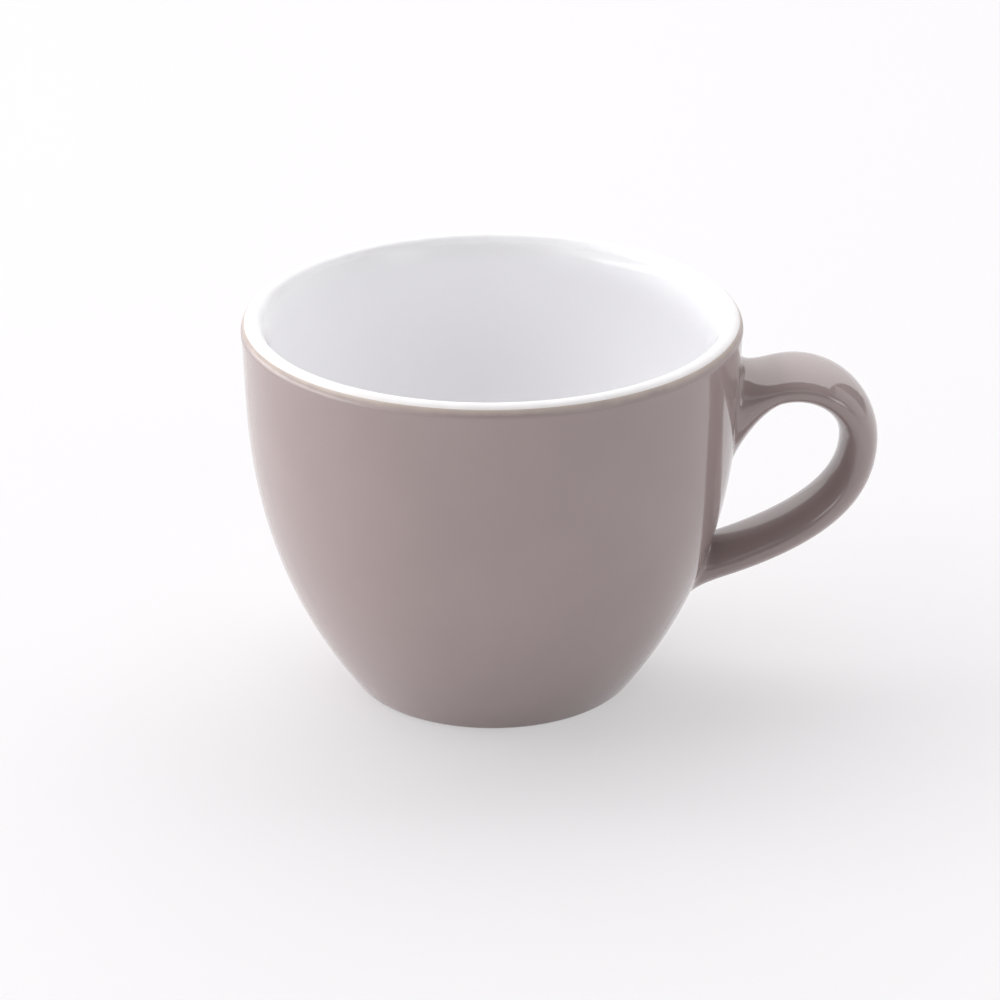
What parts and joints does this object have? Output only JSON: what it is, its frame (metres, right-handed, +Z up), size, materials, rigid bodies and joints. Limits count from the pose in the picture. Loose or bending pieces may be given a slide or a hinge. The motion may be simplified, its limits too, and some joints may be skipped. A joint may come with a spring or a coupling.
{
  "type": "espresso cup",
  "caption": "Small glazed porcelain espresso cup with a flared bowl, a white inside, a ring foot and a loop handle to lift it by.",
  "frame": {"origin": "on the axis of the bowl, in the plane of the surface that the foot ring stands on", "axes": "+Z up along the axis of the bowl, +X towards the handle"},
  "size_m": [0.083, 0.065, 0.051],
  "materials": {
    "bare_clay": "matte fired porcelain",
    "taupe_glaze": "glossy",
    "white_glaze": "glossy"
  },
  "bodies": {
    "root": {"bowl_body": "bare_clay", "handle_body": "bare_clay", "upper_slip_joint": "bare_clay", "lower_slip_joint": "bare_clay", "outer_glaze": "taupe_glaze", "inner_glaze": "white_glaze", "foot_glaze": "taupe_glaze"}
  },
  "joints": []
}
